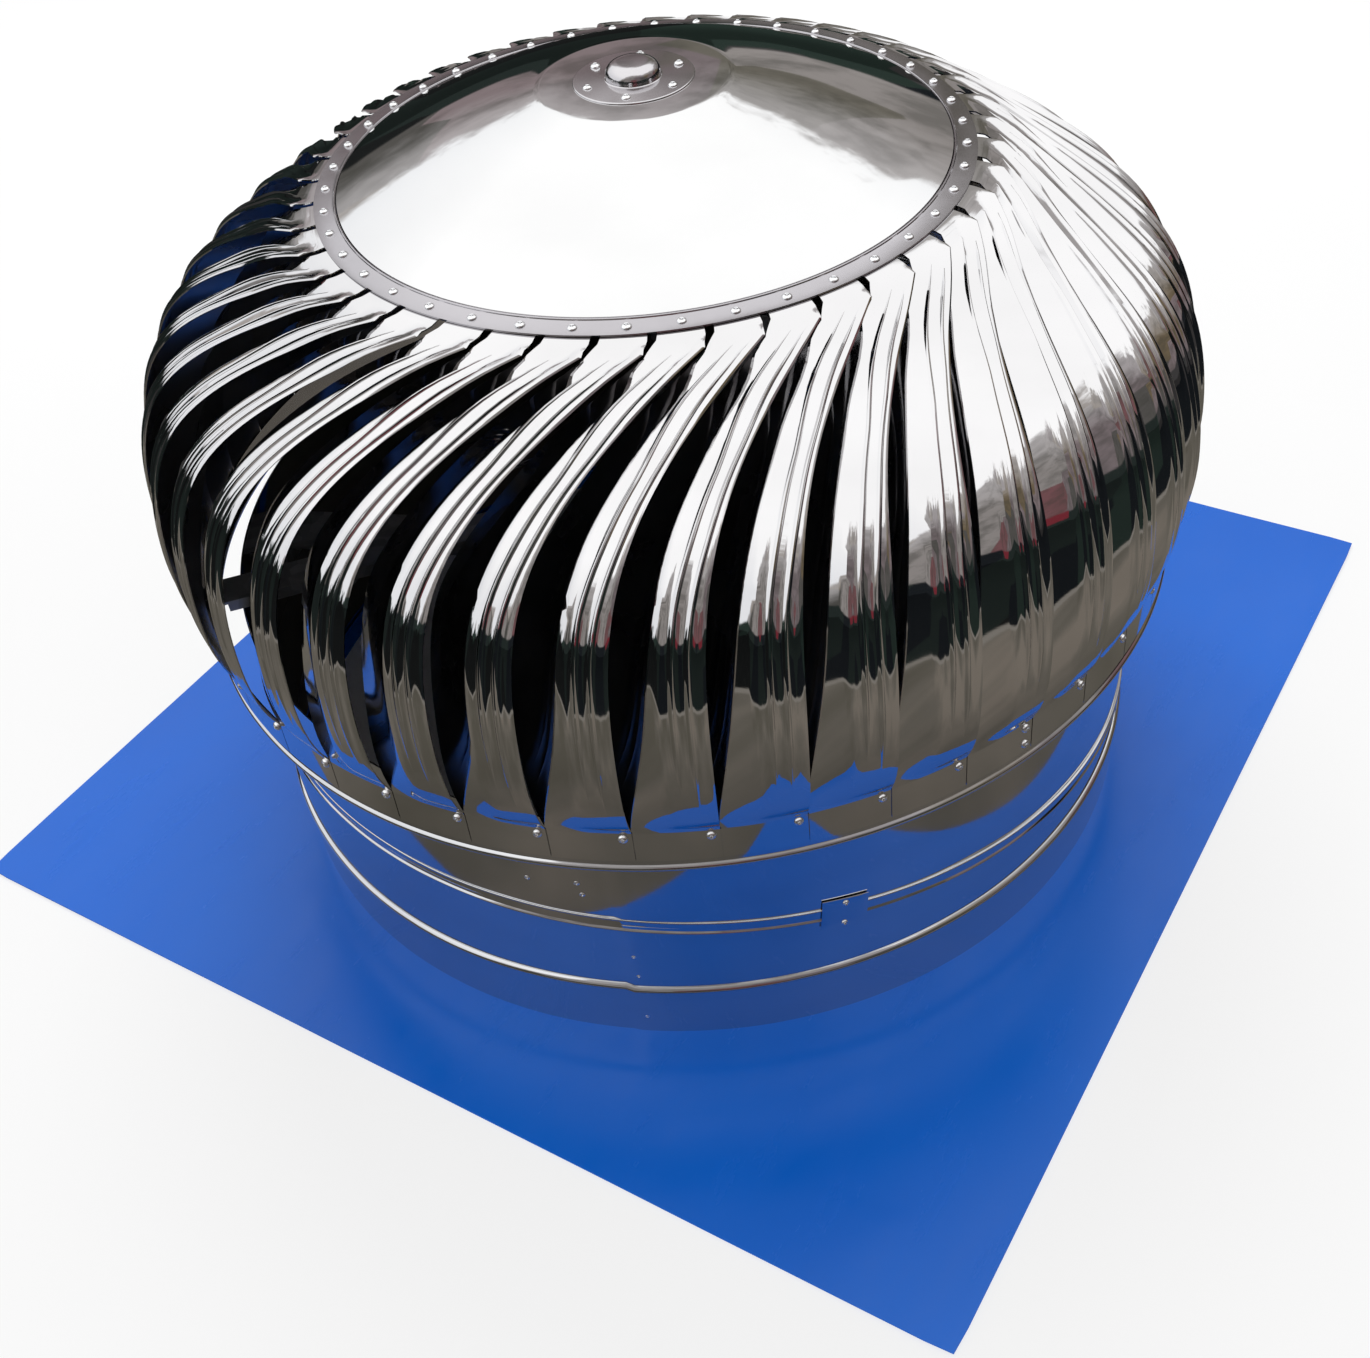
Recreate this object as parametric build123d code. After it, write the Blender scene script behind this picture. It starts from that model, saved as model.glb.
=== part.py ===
from build123d import *
import math
import os

os.makedirs("parts", exist_ok=True)

# Roof turbine ventilator with a 600 mm throat. Millimetres and degrees, +Z up.

# Base sheet and throat
THROAT_R = 300.0            # outside of the throat wall
PLATE_SIDE = 2 * THROAT_R + 156.0
PLATE_T = 1.2
SHEET_T = 1.0               # throat, rings and dome
SEAT = 0.3                  # gap between riveted sheets
COLLAR_H = 16.0             # base sheet turned up inside the throat
BEAD_Z = 45.0
BEAD_H = 2.6                # how far the swaged bead stands out
BEAD_HALF = 3.0             # half its width

# Slanted swivel joint between the two throat sections
JOINT_Z = 86.0              # joint plane on the axis
JOINT_TILT = 5.5
JOINT_LOW_AZ = 68.0         # azimuth of the lowest point of the joint
FLANGE_W = 3.6
FLANGE_T = 4.2
BAND_T = 0.9
BAND_LIP = 2.4
CLIP_AZ = -42.0
CLIP_ARC = 5.5
CLIP_H = 24.0
THROAT_TOP_Z = JOINT_Z + 110.0

# Lower ring of the rotor
RING_R = THROAT_R + 20.4    # outside
RING_BOTTOM_Z = THROAT_TOP_Z - 15.0
RING_TOP_Z = THROAT_TOP_Z + 13.5
RING_BEAD_R = 2.2

# Vanes
VANE_COUNT = 42
VANE_T = 0.8
VANE_AZ = -63.5             # outer edge of vane 1 at the foot
FOOT_END_Z = RING_BOTTOM_Z + 7.0
FOOT_Z = RING_TOP_Z + 1.5   # bend above the foot tab
BELLY_R = RING_R + 12.6
BELLY_Z = FOOT_Z + 65.0
SHOULDER_R = RING_R - 14.4
SHOULDER_Z = FOOT_Z + 158.0
CROWN_R = RING_R - 68.4
CROWN_Z = FOOT_Z + 200.0
HEAD_R = RING_R - 113.4     # corner where the vane is cut back to its tab
HEAD_SLOPE = 22.0           # of the vane where it meets the corner
VANE_SWEEP = 22.6           # outer edge, foot to head
SWEEP_POWER = 4.7
VANE_ROWS = 11
VANE_DEPTH = 31.0           # inner edge inside the envelope
CREASE_AT = 0.5             # of one pitch in from the outer edge
CREASE_DEPTH = 2.5
VANE_LAP = 0.28             # of one pitch tucked behind the next vane
PANEL_GAP = 0.014           # of one pitch between neighbours at the rings
TAB_OUTER = 0.7             # tab edges, degrees from the head corner
TAB_INNER = -6.4

# Top of the rotor
RIM_R = HEAD_R - 20.0       # rivet circle of the rim
RIM_Z = FOOT_Z + 231.5
RIM_SLOPE = 5.0
RIM_IN = RIM_R - 7.0
RIM_OUT = RIM_R + 10.0
DOME_FLAT_R = 56.0
DOME_RISE = 45.2
DOME_CROWN = 3.0
HUB_R = 35.0
HUB_H = 2.0
CAP_R = 16.0
CAP_H = 9.0
CAP_WALL = 2.0

# Spindle, bearings and what carries them
SPINDLE_R = 8.0
RUNNING = 0.05              # radial clearance on the spindle
BRACKET_Z = THROAT_TOP_Z - 44.0     # top face of the straps
BRACKET_AZ = -69.0
BRACKET_W = 40.0
BRACKET_T = 3.0
BRACKET_FOOT = 26.0
BRACKET_RIB = 12.0
SPIDER_ARMS = 3
SPIDER_AZ = -132.0
SPIDER_Z = RING_TOP_Z + 2.5         # top face of the arms
SPIDER_W = 25.0
SPIDER_T = 2.0
SPIDER_LIP = 8.0
SPIDER_FOOT = 22.0
SPIDER_HUB_R = 26.0
BEARING_R = 20.0
BEARING_H = 14.0
HOUSING_WALL = 4.0
HOUSING_FLANGE = 3.0
NUT_FLATS = 24.0
NUT_H = 8.0

pitch = 360.0 / VANE_COUNT
rim_tan = math.tan(math.radians(RIM_SLOPE))


def save(shape, name):
    export_step(shape, "parts/" + name + ".step")


def turned(points):
    """Solid of revolution about Z from a closed outline of (radius, height)."""
    outline = make_face(Polyline(*[(r, 0, z) for r, z in points], close=True))
    return revolve(outline, Axis.Z)


def polar(radius, azimuth, height):
    a = math.radians(azimuth)
    return Vector(radius * math.cos(a), radius * math.sin(a), height)


def rim_z(radius):
    """Height of the outer face of the rim band at a radius."""
    return RIM_Z - (radius - RIM_R) * rim_tan


def between(low, high, side):
    """Box that spans two heights, centred on the axis."""
    return Pos(0, 0, (low + high) / 2) * Box(side, side, high - low)


def drilled(shape, radius):
    return shape - Cylinder(radius, 4 * THROAT_R)


# Base sheet: square, with its opening turned up into a collar
def base_flashing():
    collar_out = THROAT_R - SHEET_T - SEAT
    collar_in = collar_out - PLATE_T
    sheet = drilled(between(0, PLATE_T, PLATE_SIDE), collar_out)
    collar = turned([
        (collar_in, 0),
        (collar_out, 0),
        (collar_out, COLLAR_H),
        (collar_in, COLLAR_H),
    ])
    return sheet + collar


# Throat: two sections that meet at a slanted plane
joint = Pos(0, 0, JOINT_Z) * Rot(0, 0, JOINT_LOW_AZ) * Rot(0, JOINT_TILT, 0)
joint_reach = THROAT_R * math.tan(math.radians(JOINT_TILT))


def flange(low, high):
    inner = THROAT_R - SHEET_T / 2
    outer = THROAT_R + FLANGE_W
    return joint * turned([(inner, low), (outer, low), (outer, high), (inner, high)])


def lower_throat():
    inner = THROAT_R - SHEET_T
    top = JOINT_Z + joint_reach + FLANGE_T
    tube = turned([
        (THROAT_R, PLATE_T),
        (THROAT_R, BEAD_Z - BEAD_HALF),
        (THROAT_R + BEAD_H, BEAD_Z),
        (THROAT_R, BEAD_Z + BEAD_HALF),
        (THROAT_R, top),
        (inner, top),
        (inner, BEAD_Z + BEAD_HALF),
        (inner + BEAD_H, BEAD_Z),
        (inner, BEAD_Z - BEAD_HALF),
        (inner, PLATE_T),
    ])
    tube -= joint * between(-RUNNING, 2 * THROAT_R, 4 * THROAT_R)
    return tube + flange(-FLANGE_T, -RUNNING)


def upper_throat():
    inner = THROAT_R - SHEET_T
    bottom = JOINT_Z - joint_reach - FLANGE_T
    tube = turned([
        (THROAT_R, bottom),
        (THROAT_R, THROAT_TOP_Z),
        (inner, THROAT_TOP_Z),
        (inner, bottom),
    ])
    tube -= joint * between(-2 * THROAT_R, RUNNING, 4 * THROAT_R)
    return tube + flange(RUNNING, FLANGE_T)


# Band that folds over both flanges and keeps the sections together
band_in = THROAT_R + FLANGE_W + SEAT
band_out = band_in + BAND_T
band_half = FLANGE_T + RUNNING + BAND_T


def swivel_band():
    lip = band_out - BAND_LIP
    return joint * turned([
        (lip, -band_half),
        (band_out, -band_half),
        (band_out, band_half),
        (lip, band_half),
        (lip, band_half - BAND_T),
        (band_in, band_half - BAND_T),
        (band_in, BAND_T - band_half),
        (lip, BAND_T - band_half),
    ])


def sector(radius, thickness, low, high, azimuth, arc):
    """Curved plate: part of a tube wall, centred on an azimuth."""
    outline = make_face(Polyline(
        (radius, 0, low),
        (radius + thickness, 0, low),
        (radius + thickness, 0, high),
        (radius, 0, high),
        close=True,
    ))
    return Rot(0, 0, azimuth - arc / 2) * revolve(outline, Axis.Z, revolution_arc=arc)


def band_clip():
    az = CLIP_AZ - JOINT_LOW_AZ
    return joint * sector(band_out + SEAT, BAND_T, -CLIP_H / 2, CLIP_H / 2, az, CLIP_ARC)


# Crossed straps in the throat that carry the spindle
def throat_bracket():
    reach = THROAT_R - SHEET_T - SEAT
    foot_low = BRACKET_Z - BRACKET_FOOT
    foot_arc = math.degrees(BRACKET_W / reach)
    cross = Cylinder(BRACKET_W / 2, BRACKET_RIB)
    cross = Pos(0, 0, BRACKET_Z - BRACKET_RIB / 2) * cross
    for turn in (0, 90):
        strap = Pos(0, 0, BRACKET_Z - BRACKET_T / 2)
        strap = strap * Box(2 * reach - BRACKET_T, BRACKET_W, BRACKET_T)
        rib = Pos(0, 0, BRACKET_Z - BRACKET_RIB / 2)
        rib = rib * Box(2 * reach - 2 * BRACKET_FOOT, BRACKET_T, BRACKET_RIB)
        cross += Rot(0, 0, turn) * (strap + rib)
        for side in (turn, turn + 180):
            inner = reach - BRACKET_T
            cross += sector(inner, BRACKET_T, foot_low, BRACKET_Z, side, foot_arc)
    return Rot(0, 0, BRACKET_AZ) * drilled(cross, SPINDLE_R + RUNNING)


def nut(low):
    blank = Pos(0, 0, low) * extrude(RegularPolygon(NUT_FLATS / 2, 6, major_radius=False), NUT_H)
    return drilled(blank, SPINDLE_R + RUNNING)


# Rim, dome and hub at the top of the rotor
tab_drop = SHEET_T + SEAT
skirt_drop = tab_drop + VANE_T / math.cos(math.radians(RIM_SLOPE)) + SEAT
dome_r = RIM_IN - 1.5 * SHEET_T
flat_z = rim_z(RIM_IN) + DOME_RISE
hub_z = flat_z + HUB_H


def top_ring():
    band = turned([
        (RIM_IN, rim_z(RIM_IN)),
        (RIM_OUT, rim_z(RIM_OUT)),
        (RIM_OUT, rim_z(RIM_OUT) - SHEET_T),
        (RIM_IN, rim_z(RIM_IN) - SHEET_T),
    ])
    lip = turned([
        (RIM_IN, rim_z(RIM_IN) + SHEET_T),
        (RIM_IN + SHEET_T, rim_z(RIM_IN) + SHEET_T),
        (RIM_IN + SHEET_T, rim_z(RIM_IN) - SHEET_T),
        (RIM_IN, rim_z(RIM_IN) - SHEET_T),
    ])
    return band + lip


def top_dome():
    """Pressed cap: flat centre, crowned cone, and a skirt below the vane tabs."""
    hole = SPINDLE_R + CAP_WALL
    edge_z = rim_z(RIM_IN) + SHEET_T
    middle_r = (DOME_FLAT_R + dome_r) / 2
    middle_z = (flat_z + edge_z) / 2 + DOME_CROWN
    skirt_z = rim_z(dome_r) - skirt_drop
    skirt_end_z = rim_z(RIM_OUT) - skirt_drop
    outside = [
        (hole, flat_z),
        (DOME_FLAT_R, flat_z),
        (middle_r, middle_z),
        (dome_r, edge_z),
        (dome_r, skirt_z),
        (RIM_OUT, skirt_end_z),
    ]
    inside = [
        (RIM_OUT, skirt_end_z - SHEET_T),
        (dome_r - SHEET_T, skirt_z - SHEET_T),
        (dome_r - SHEET_T, edge_z - SHEET_T),
        (middle_r, middle_z - SHEET_T),
        (DOME_FLAT_R, flat_z - SHEET_T),
        (hole, flat_z - SHEET_T),
    ]
    return turned(outside + inside)


def bearing_cap():
    top = hub_z + CAP_H
    inner = CAP_R - CAP_WALL
    return turned([
        (0, top),
        (CAP_R - CAP_WALL, top),
        (CAP_R, top - CAP_WALL),
        (CAP_R, hub_z),
        (HUB_R, hub_z),
        (HUB_R, flat_z),
        (inner, flat_z),
        (inner, top - CAP_WALL),
        (0, top - CAP_WALL),
    ])


housing_top = flat_z - SHEET_T
upper_bearing_z = housing_top - HOUSING_FLANGE - BEARING_H


def upper_housing():
    """Flanged cup below the dome that holds the upper bearing."""
    wall = BEARING_R + SEAT + HOUSING_WALL
    low = upper_bearing_z - HOUSING_FLANGE
    return turned([
        (HUB_R, housing_top),
        (HUB_R, housing_top - HOUSING_FLANGE),
        (wall, housing_top - HOUSING_FLANGE),
        (wall, low),
        (SPINDLE_R + HOUSING_WALL, low),
        (SPINDLE_R + HOUSING_WALL, upper_bearing_z),
        (BEARING_R, upper_bearing_z),
        (BEARING_R, housing_top),
    ])


def bearing(low):
    block = Pos(0, 0, low + BEARING_H / 2) * Cylinder(BEARING_R, BEARING_H)
    return drilled(block, SPINDLE_R + RUNNING)


# Lower ring and the spider that ties it to the lower bearing
lower_bearing_z = SPIDER_Z - BEARING_H


def lower_ring():
    inner = RING_R - SHEET_T
    roll = RING_BEAD_R
    return turned([
        (inner, RING_TOP_Z),
        (inner, RING_BOTTOM_Z + roll),
        (inner - roll / 2, RING_BOTTOM_Z),
        (inner, RING_BOTTOM_Z - roll),
        (RING_R, RING_BOTTOM_Z - roll),
        (RING_R + roll, RING_BOTTOM_Z),
        (RING_R, RING_BOTTOM_Z + roll),
        (RING_R, RING_TOP_Z),
    ])


def rotor_spider():
    """Hub with channel-section arms whose feet meet the lower ring."""
    reach = RING_R - SHEET_T - SEAT
    lip_low = SPIDER_Z - SPIDER_LIP
    foot_arc = math.degrees(SPIDER_W / reach)
    hub = between(lower_bearing_z, SPIDER_Z, 2 * SPIDER_HUB_R)
    spider = hub & Cylinder(SPIDER_HUB_R, 4 * SPIDER_Z)
    for arm in range(SPIDER_ARMS):
        web = Pos(reach / 2, 0, SPIDER_Z - SPIDER_T / 2) * Box(reach - SPIDER_T, SPIDER_W, SPIDER_T)
        channel = Part() + web
        for side in (-1, 1):
            place = Pos(reach / 2, side * (SPIDER_W - SPIDER_T) / 2, (lip_low + SPIDER_Z) / 2)
            channel += place * Box(reach - SPIDER_FOOT, SPIDER_T, SPIDER_LIP)
        channel += sector(reach - SPIDER_T, SPIDER_T, SPIDER_Z - SPIDER_FOOT, SPIDER_Z, 0, foot_arc)
        spider += Rot(0, 0, arm * 360 / SPIDER_ARMS) * channel
    spider = Rot(0, 0, SPIDER_AZ) * spider
    return drilled(spider, BEARING_R)


# Vane: a thin twisted plate built row by row from its foot tab to its head tab
foot_r = RING_R + SEAT + VANE_T
head_tan = math.tan(math.radians(HEAD_SLOPE))
head_z = rim_z(RIM_OUT) - tab_drop - (HEAD_R - RIM_OUT) * head_tan


def belly_line():
    """Meridian that the outer edges of the vanes follow."""
    return Spline(
        (foot_r, 0, FOOT_Z),
        (BELLY_R, 0, BELLY_Z),
        (SHOULDER_R, 0, SHOULDER_Z),
        (CROWN_R, 0, CROWN_Z),
        (HEAD_R, 0, head_z),
        tangents=[(0.42, 0, 1), (-1, 0, head_tan)],
    )


def tab_row(radius, height, azimuths):
    return [polar(radius, az, height) for az in azimuths]


def vane_rows():
    """Rows of three points each: inner edge, crease, outer edge."""
    line = belly_line()
    whole = 1 - PANEL_GAP
    foot_az = [VANE_AZ - whole * pitch, VANE_AZ - CREASE_AT * pitch, VANE_AZ]
    rows = [tab_row(foot_r, FOOT_END_Z, foot_az)]
    for i in range(VANE_ROWS + 1):
        t = i / VANE_ROWS
        opening = max(0.0, math.sin(math.pi * t)) ** 0.8
        edge_az = VANE_AZ + VANE_SWEEP * t ** SWEEP_POWER
        here = line @ t
        along = line % t
        outward = Vector(along.Z, 0, -along.X)
        row = []
        for across, depth in (
            (whole + VANE_LAP * opening, VANE_DEPTH),
            (CREASE_AT, CREASE_DEPTH),
            (0.0, 0.0),
        ):
            point = here - outward * depth * opening
            row.append(polar(point.X, edge_az - across * pitch, point.Z))
        rows.append(row)
    head_az = VANE_AZ + VANE_SWEEP
    tab_az = [head_az + TAB_INNER, head_az + (TAB_INNER + TAB_OUTER) / 2, head_az + TAB_OUTER]
    for radius in (RIM_OUT, RIM_IN + 2 * SHEET_T):
        rows.append(tab_row(radius, rim_z(radius) - tab_drop, tab_az))
    return rows


def row_normal(rows, i, j):
    """Outward normal of the vane at one point, from its neighbours."""
    above = rows[min(i + 1, len(rows) - 1)][j]
    below = rows[max(i - 1, 0)][j]
    right = rows[i][min(j + 1, 2)]
    left = rows[i][max(j - 1, 0)]
    return (right - left).cross(above - below).normalized()


def triangle(a, b, c):
    return Face(Wire.make_polygon([a, b, c], close=True))


def vane():
    outer = vane_rows()
    inner = [
        [p - row_normal(outer, i, j) * VANE_T for j, p in enumerate(row)]
        for i, row in enumerate(outer)
    ]
    faces = []

    def quad(a, b, c, d):
        faces.append(triangle(a, b, c))
        faces.append(triangle(a, c, d))

    last = len(outer) - 1
    for i in range(last):
        for j in range(2):
            quad(outer[i][j], outer[i][j + 1], outer[i + 1][j + 1], outer[i + 1][j])
            quad(inner[i][j], inner[i][j + 1], inner[i + 1][j + 1], inner[i + 1][j])
        for j in (0, 2):
            quad(outer[i][j], inner[i][j], inner[i + 1][j], outer[i + 1][j])
    for i in (0, last):
        for j in range(2):
            quad(outer[i][j], outer[i][j + 1], inner[i][j + 1], inner[i][j])
    return Solid(Shell(faces))


save(base_flashing(), "base_flashing")
save(lower_throat(), "lower_throat")
save(swivel_band(), "swivel_band")
save(band_clip(), "band_clip")
save(upper_throat(), "upper_throat")
save(throat_bracket(), "throat_bracket")
spindle_low = BRACKET_Z - BRACKET_RIB - NUT_H - NUT_H / 2
spindle_high = hub_z + CAP_H / 2
spindle_mid = (spindle_low + spindle_high) / 2
save(Pos(0, 0, spindle_mid) * Cylinder(SPINDLE_R, spindle_high - spindle_low), "spindle")
save(nut(BRACKET_Z), "spindle_nut_upper")
save(nut(BRACKET_Z - BRACKET_RIB - NUT_H), "spindle_nut_lower")
save(top_dome(), "top_dome")
save(top_ring(), "top_ring")
save(bearing_cap(), "bearing_cap")
save(upper_housing(), "upper_housing")
save(bearing(upper_bearing_z), "upper_bearing")
save(lower_ring(), "lower_ring")
save(rotor_spider(), "rotor_spider")
save(bearing(lower_bearing_z), "lower_bearing")
first_vane = vane()
for k in range(VANE_COUNT):
    save(Rot(0, 0, k * pitch) * first_vane, "vane_%02d" % (k + 1))
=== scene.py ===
import math
import random

import bpy
import numpy as np
from mathutils import Matrix, Vector, noise


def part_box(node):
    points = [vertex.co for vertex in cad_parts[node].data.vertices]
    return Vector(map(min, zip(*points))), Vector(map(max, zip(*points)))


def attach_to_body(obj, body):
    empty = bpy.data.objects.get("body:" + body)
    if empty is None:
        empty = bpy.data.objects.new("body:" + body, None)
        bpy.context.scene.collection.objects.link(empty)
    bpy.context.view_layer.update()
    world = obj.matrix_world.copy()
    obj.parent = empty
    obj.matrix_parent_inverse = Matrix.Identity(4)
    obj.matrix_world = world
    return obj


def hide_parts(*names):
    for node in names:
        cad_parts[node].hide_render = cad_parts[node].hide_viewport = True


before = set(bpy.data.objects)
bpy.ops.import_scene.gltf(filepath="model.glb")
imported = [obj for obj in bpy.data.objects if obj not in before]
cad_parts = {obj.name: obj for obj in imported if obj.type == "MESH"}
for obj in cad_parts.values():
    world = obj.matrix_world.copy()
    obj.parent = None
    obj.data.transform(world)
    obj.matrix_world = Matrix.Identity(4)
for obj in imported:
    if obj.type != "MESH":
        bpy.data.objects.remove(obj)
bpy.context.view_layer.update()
print("frame loaded:", len(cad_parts), "nodes")

mm = 0.001
scene = bpy.context.scene


def polar(radius, azimuth, height):
    a = math.radians(azimuth)
    return Vector((radius * math.cos(a), radius * math.sin(a), height))


def ease(x, low, high):  # 0 below low, 1 above high, smooth between
    t = min(1.0, max(0.0, (x - low) / (high - low)))
    return t * t * (3 - 2 * t)


def ringNoise(azimuth, scale, third):  # noise that closes on itself after a full turn
    a = math.radians(azimuth)
    return noise.noise(Vector((scale * math.cos(a), scale * math.sin(a), third)))


def makePiece(name, points, faces, materials, sharp=32, faceSlots=None):
    mesh = bpy.data.meshes.new(name)
    mesh.from_pydata([tuple(p) for p in points], [], faces)
    for material in materials:
        mesh.materials.append(material)
    if faceSlots:
        mesh.polygons.foreach_set("material_index", faceSlots)
    mesh.shade_smooth()
    mesh.set_sharp_from_angle(angle=math.radians(sharp))
    mesh.update()
    piece = bpy.data.objects.new(name, mesh)
    scene.collection.objects.link(piece)
    return piece


def spun(name, outline, materials, steps=256, shape=None):
    # turns a closed outline of (radius, height) about the axis; shape(az, r, z) may move a point
    points, faces = [], []
    count = len(outline)
    for s in range(steps):
        az = 360 * s / steps
        for r, z in outline:
            if shape:
                r, z = shape(az, r, z)
            points.append(polar(r, az, z))
    for s in range(steps):
        here, there = s * count, (s + 1) % steps * count
        for i in range(count):
            j = (i + 1) % count
            faces.append((here + i, there + i, there + j, here + j))
    return makePiece(name, points, faces, materials)


def arcPoints(r, z, radius, start, end, count):
    # points of a small arc in the outline plane, degrees from +r towards +z
    spots = []
    for i in range(count + 1):
        a = math.radians(start + (end - start) * i / count)
        spots.append((r + radius * math.cos(a), z + radius * math.sin(a)))
    return spots


def sheetOutline(line, thickness):
    # closes a line of (radius, height) into a thin sheet on its inner side
    inner = []
    for i, (r, z) in enumerate(line):
        before, after = line[max(i - 1, 0)], line[min(i + 1, len(line) - 1)]
        dr, dz = after[0] - before[0], after[1] - before[1]
        length = math.hypot(dr, dz) or 1
        inner.append((r - dz / length * thickness, z + dr / length * thickness))
    return line + inner[::-1]


def attach(piece, body, slot, *nodes):
    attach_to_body(piece, body)
    if nodes:
        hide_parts(*nodes)
    return piece


class Graph:
    # short calls for the nodes of a material or a world
    def __init__(self, tree):
        self.nodes, self.links = tree.nodes, tree.links
        self.nodes.clear()

    def plug(self, value, socket):
        if isinstance(value, bpy.types.NodeSocket):
            self.links.new(value, socket)
        else:
            socket.default_value = value

    def node(self, kind, **inputs):
        made = self.nodes.new(kind)
        for key, value in inputs.items():
            self.plug(value, made.inputs[key.replace("_", " ")])
        return made

    def math(self, operation, *values):
        made = self.nodes.new("ShaderNodeMath")
        made.operation = operation
        for value, socket in zip(values, made.inputs):
            self.plug(value, socket)
        return made.outputs[0]

    def step(self, value, low, high):  # 0 below low, 1 above high
        made = self.nodes.new("ShaderNodeMapRange")
        made.interpolation_type = "SMOOTHSTEP"
        self.plug(value, made.inputs["Value"])
        self.plug(low, made.inputs["From Min"])
        self.plug(high, made.inputs["From Max"])
        return made.outputs[0]

    def ramp(self, value, *stops, hard=False):
        made = self.node("ShaderNodeValToRGB", Fac=value)
        elements = made.color_ramp.elements
        if hard:
            made.color_ramp.interpolation = "CONSTANT"
        while len(elements) < len(stops):
            elements.new(0.5)
        for element, (position, colour) in zip(elements, stops):
            element.position = position
            if isinstance(colour, (int, float)):
                colour = (colour, colour, colour)
            element.color = (*colour, 1)
        return made.outputs[0]

    def mix(self, factor, first, second):
        made = self.nodes.new("ShaderNodeMix")
        made.data_type = "RGBA"
        for value, socket in ((factor, 0), (first, 6), (second, 7)):
            if isinstance(value, tuple) and len(value) == 3:
                value = (*value, 1)
            self.plug(value, made.inputs[socket])
        return made.outputs[2]

    def blocks(self, place, scale):  # one random value per stretch of a line
        made = self.nodes.new("ShaderNodeTexVoronoi")
        made.voronoi_dimensions = "1D"
        self.plug(place, made.inputs["W"])
        made.inputs["Scale"].default_value = scale
        return self.node("ShaderNodeSeparateColor", Color=made.outputs["Color"]).outputs[0]

    def panels(self, place, scale):  # one random value per upright block
        made = self.nodes.new("ShaderNodeTexVoronoi")
        made.voronoi_dimensions = "2D"
        made.distance = "CHEBYCHEV"
        self.plug(place, made.inputs["Vector"])
        made.inputs["Scale"].default_value = scale
        made.inputs["Randomness"].default_value = 0.8
        return self.node("ShaderNodeSeparateColor", Color=made.outputs["Color"]).outputs[0]

    def choose(self, factor, first, second):  # between two shaders
        made = self.node("ShaderNodeMixShader", Fac=factor)
        self.links.new(first, made.inputs[1])
        self.links.new(second, made.inputs[2])
        return made.outputs[0]

    def seenInMetal(self):
        rays = self.node("ShaderNodeLightPath")
        return self.math("MAXIMUM", rays.outputs["Is Glossy Ray"], rays.outputs["Is Transmission Ray"])


class Finish(Graph):
    # one surface material
    def __init__(self, name):
        self.material = bpy.data.materials.new(name)
        self.material.use_nodes = True
        super().__init__(self.material.node_tree)
        self.output = self.node("ShaderNodeOutputMaterial")
        self.shader = self.node("ShaderNodeBsdfPrincipled")
        self.links.new(self.shader.outputs[0], self.output.inputs[0])
        self.place = self.node("ShaderNodeTexCoord").outputs["Object"]

    def set(self, **inputs):
        for key, value in inputs.items():
            self.plug(value, self.shader.inputs[key.replace("_", " ")])

    def stretched(self, x, y, z):
        return self.node("ShaderNodeMapping", Vector=self.place, Scale=(x, y, z)).outputs[0]

    def cloud(self, scale, detail=3.0, where=None, roughness=0.5):
        made = self.node("ShaderNodeTexNoise", Vector=where or self.place, Scale=scale,
                         Detail=detail, Roughness=roughness)
        return made.outputs["Fac"]

    def bump(self, height, strength, distance, after=None):
        made = self.node("ShaderNodeBump", Height=height, Strength=strength, Distance=distance)
        if after:
            self.links.new(after, made.inputs["Normal"])
        return made.outputs[0]


def polishedSheet(name, tint, roughLow, roughHigh, wave, smear=0.06):
    # mirror-polished stainless: faint rolling waves, wiped smears and fine polishing lines
    steel = Finish(name)
    smears = steel.cloud(9, 4, steel.stretched(1, 1, 3.2))
    dust = steel.cloud(130, 2)
    lines = steel.cloud(60, 2, steel.stretched(1, 1, 14))
    dull = tuple(c * (1 - smear) for c in tint)
    colour = steel.ramp(smears, (0.35, dull), (0.62, tint))
    steel.set(Base_Color=colour, Metallic=1.0)
    rough = steel.ramp(steel.mix(0.35, smears, dust), (0.3, roughLow), (0.7, roughHigh))
    steel.set(Roughness=rough)
    rolling = steel.bump(steel.cloud(7, 1), wave, 4 * mm)
    steel.set(Normal=steel.bump(lines, 0.012, 0.2 * mm, rolling))
    return steel.material


vaneSteel = polishedSheet("vaneMirrorSteel", (0.66, 0.655, 0.66), 0.02, 0.06, 0.05)
throatSteel = polishedSheet("throatMirrorSteel", (0.60, 0.605, 0.62), 0.03, 0.08, 0.09)
domeSteel = polishedSheet("domeMirrorSteel", (0.70, 0.70, 0.70), 0.025, 0.06, 0.035, 0.04)
rimSteel = polishedSheet("rimSatinSteel", (0.46, 0.445, 0.465), 0.14, 0.26, 0.05, 0.10)
hubSteel = polishedSheet("hubSatinSteel", (0.60, 0.585, 0.60), 0.10, 0.20, 0.05, 0.08)


def shadedInnerSheet():
    # back of the vanes: same sheet, not polished, darkened with painted shade for the enclosed inside of the
    # rotor
    sheet = Finish("vaneInnerSteel")
    shadeMottle = sheet.cloud(14, 5)
    # painted shade: base colour held at 0.20-0.34, far below the polished face, stands for the unlit inside of
    # the rotor; the noise only mottles it
    sheet.set(Base_Color=sheet.ramp(shadeMottle, (0.3, (0.20, 0.20, 0.21)), (0.7, (0.34, 0.34, 0.35))),
              Metallic=1.0, Roughness=sheet.ramp(shadeMottle, (0.3, 0.22), (0.7, 0.36)))
    sheet.set(Normal=sheet.bump(sheet.cloud(40, 2), 0.05, 0.4 * mm))
    return sheet.material


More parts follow.
